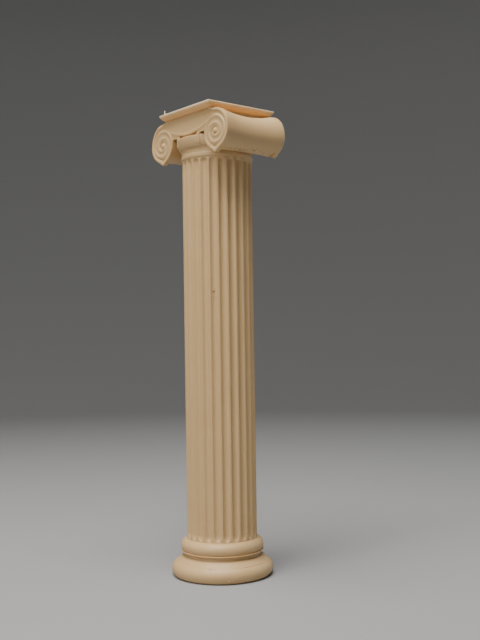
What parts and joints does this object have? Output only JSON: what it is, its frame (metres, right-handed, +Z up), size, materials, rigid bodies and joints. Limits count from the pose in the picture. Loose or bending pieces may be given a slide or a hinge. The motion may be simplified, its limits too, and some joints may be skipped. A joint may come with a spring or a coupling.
{
  "type": "ionic column",
  "caption": "Small plastic model of an Ionic column: round moulded base, fluted shaft, capital with scrolled volutes and bolsters, square abacus, all in one piece.",
  "frame": {"origin": "centre of the bounding box at the underside, on the shaft's axis", "axes": "+Z up the shaft; the carved volute faces look along -Y and +Y, and the bolsters lie along Y, so the capital is widest along X"},
  "size_m": [0.0546, 0.0436, 0.2],
  "materials": {
    "cream_plastic": "satin, slightly translucent printed plastic with fine layer lines"
  },
  "bodies": {
    "root": {"ionic_column": "cream_plastic"}
  },
  "joints": []
}
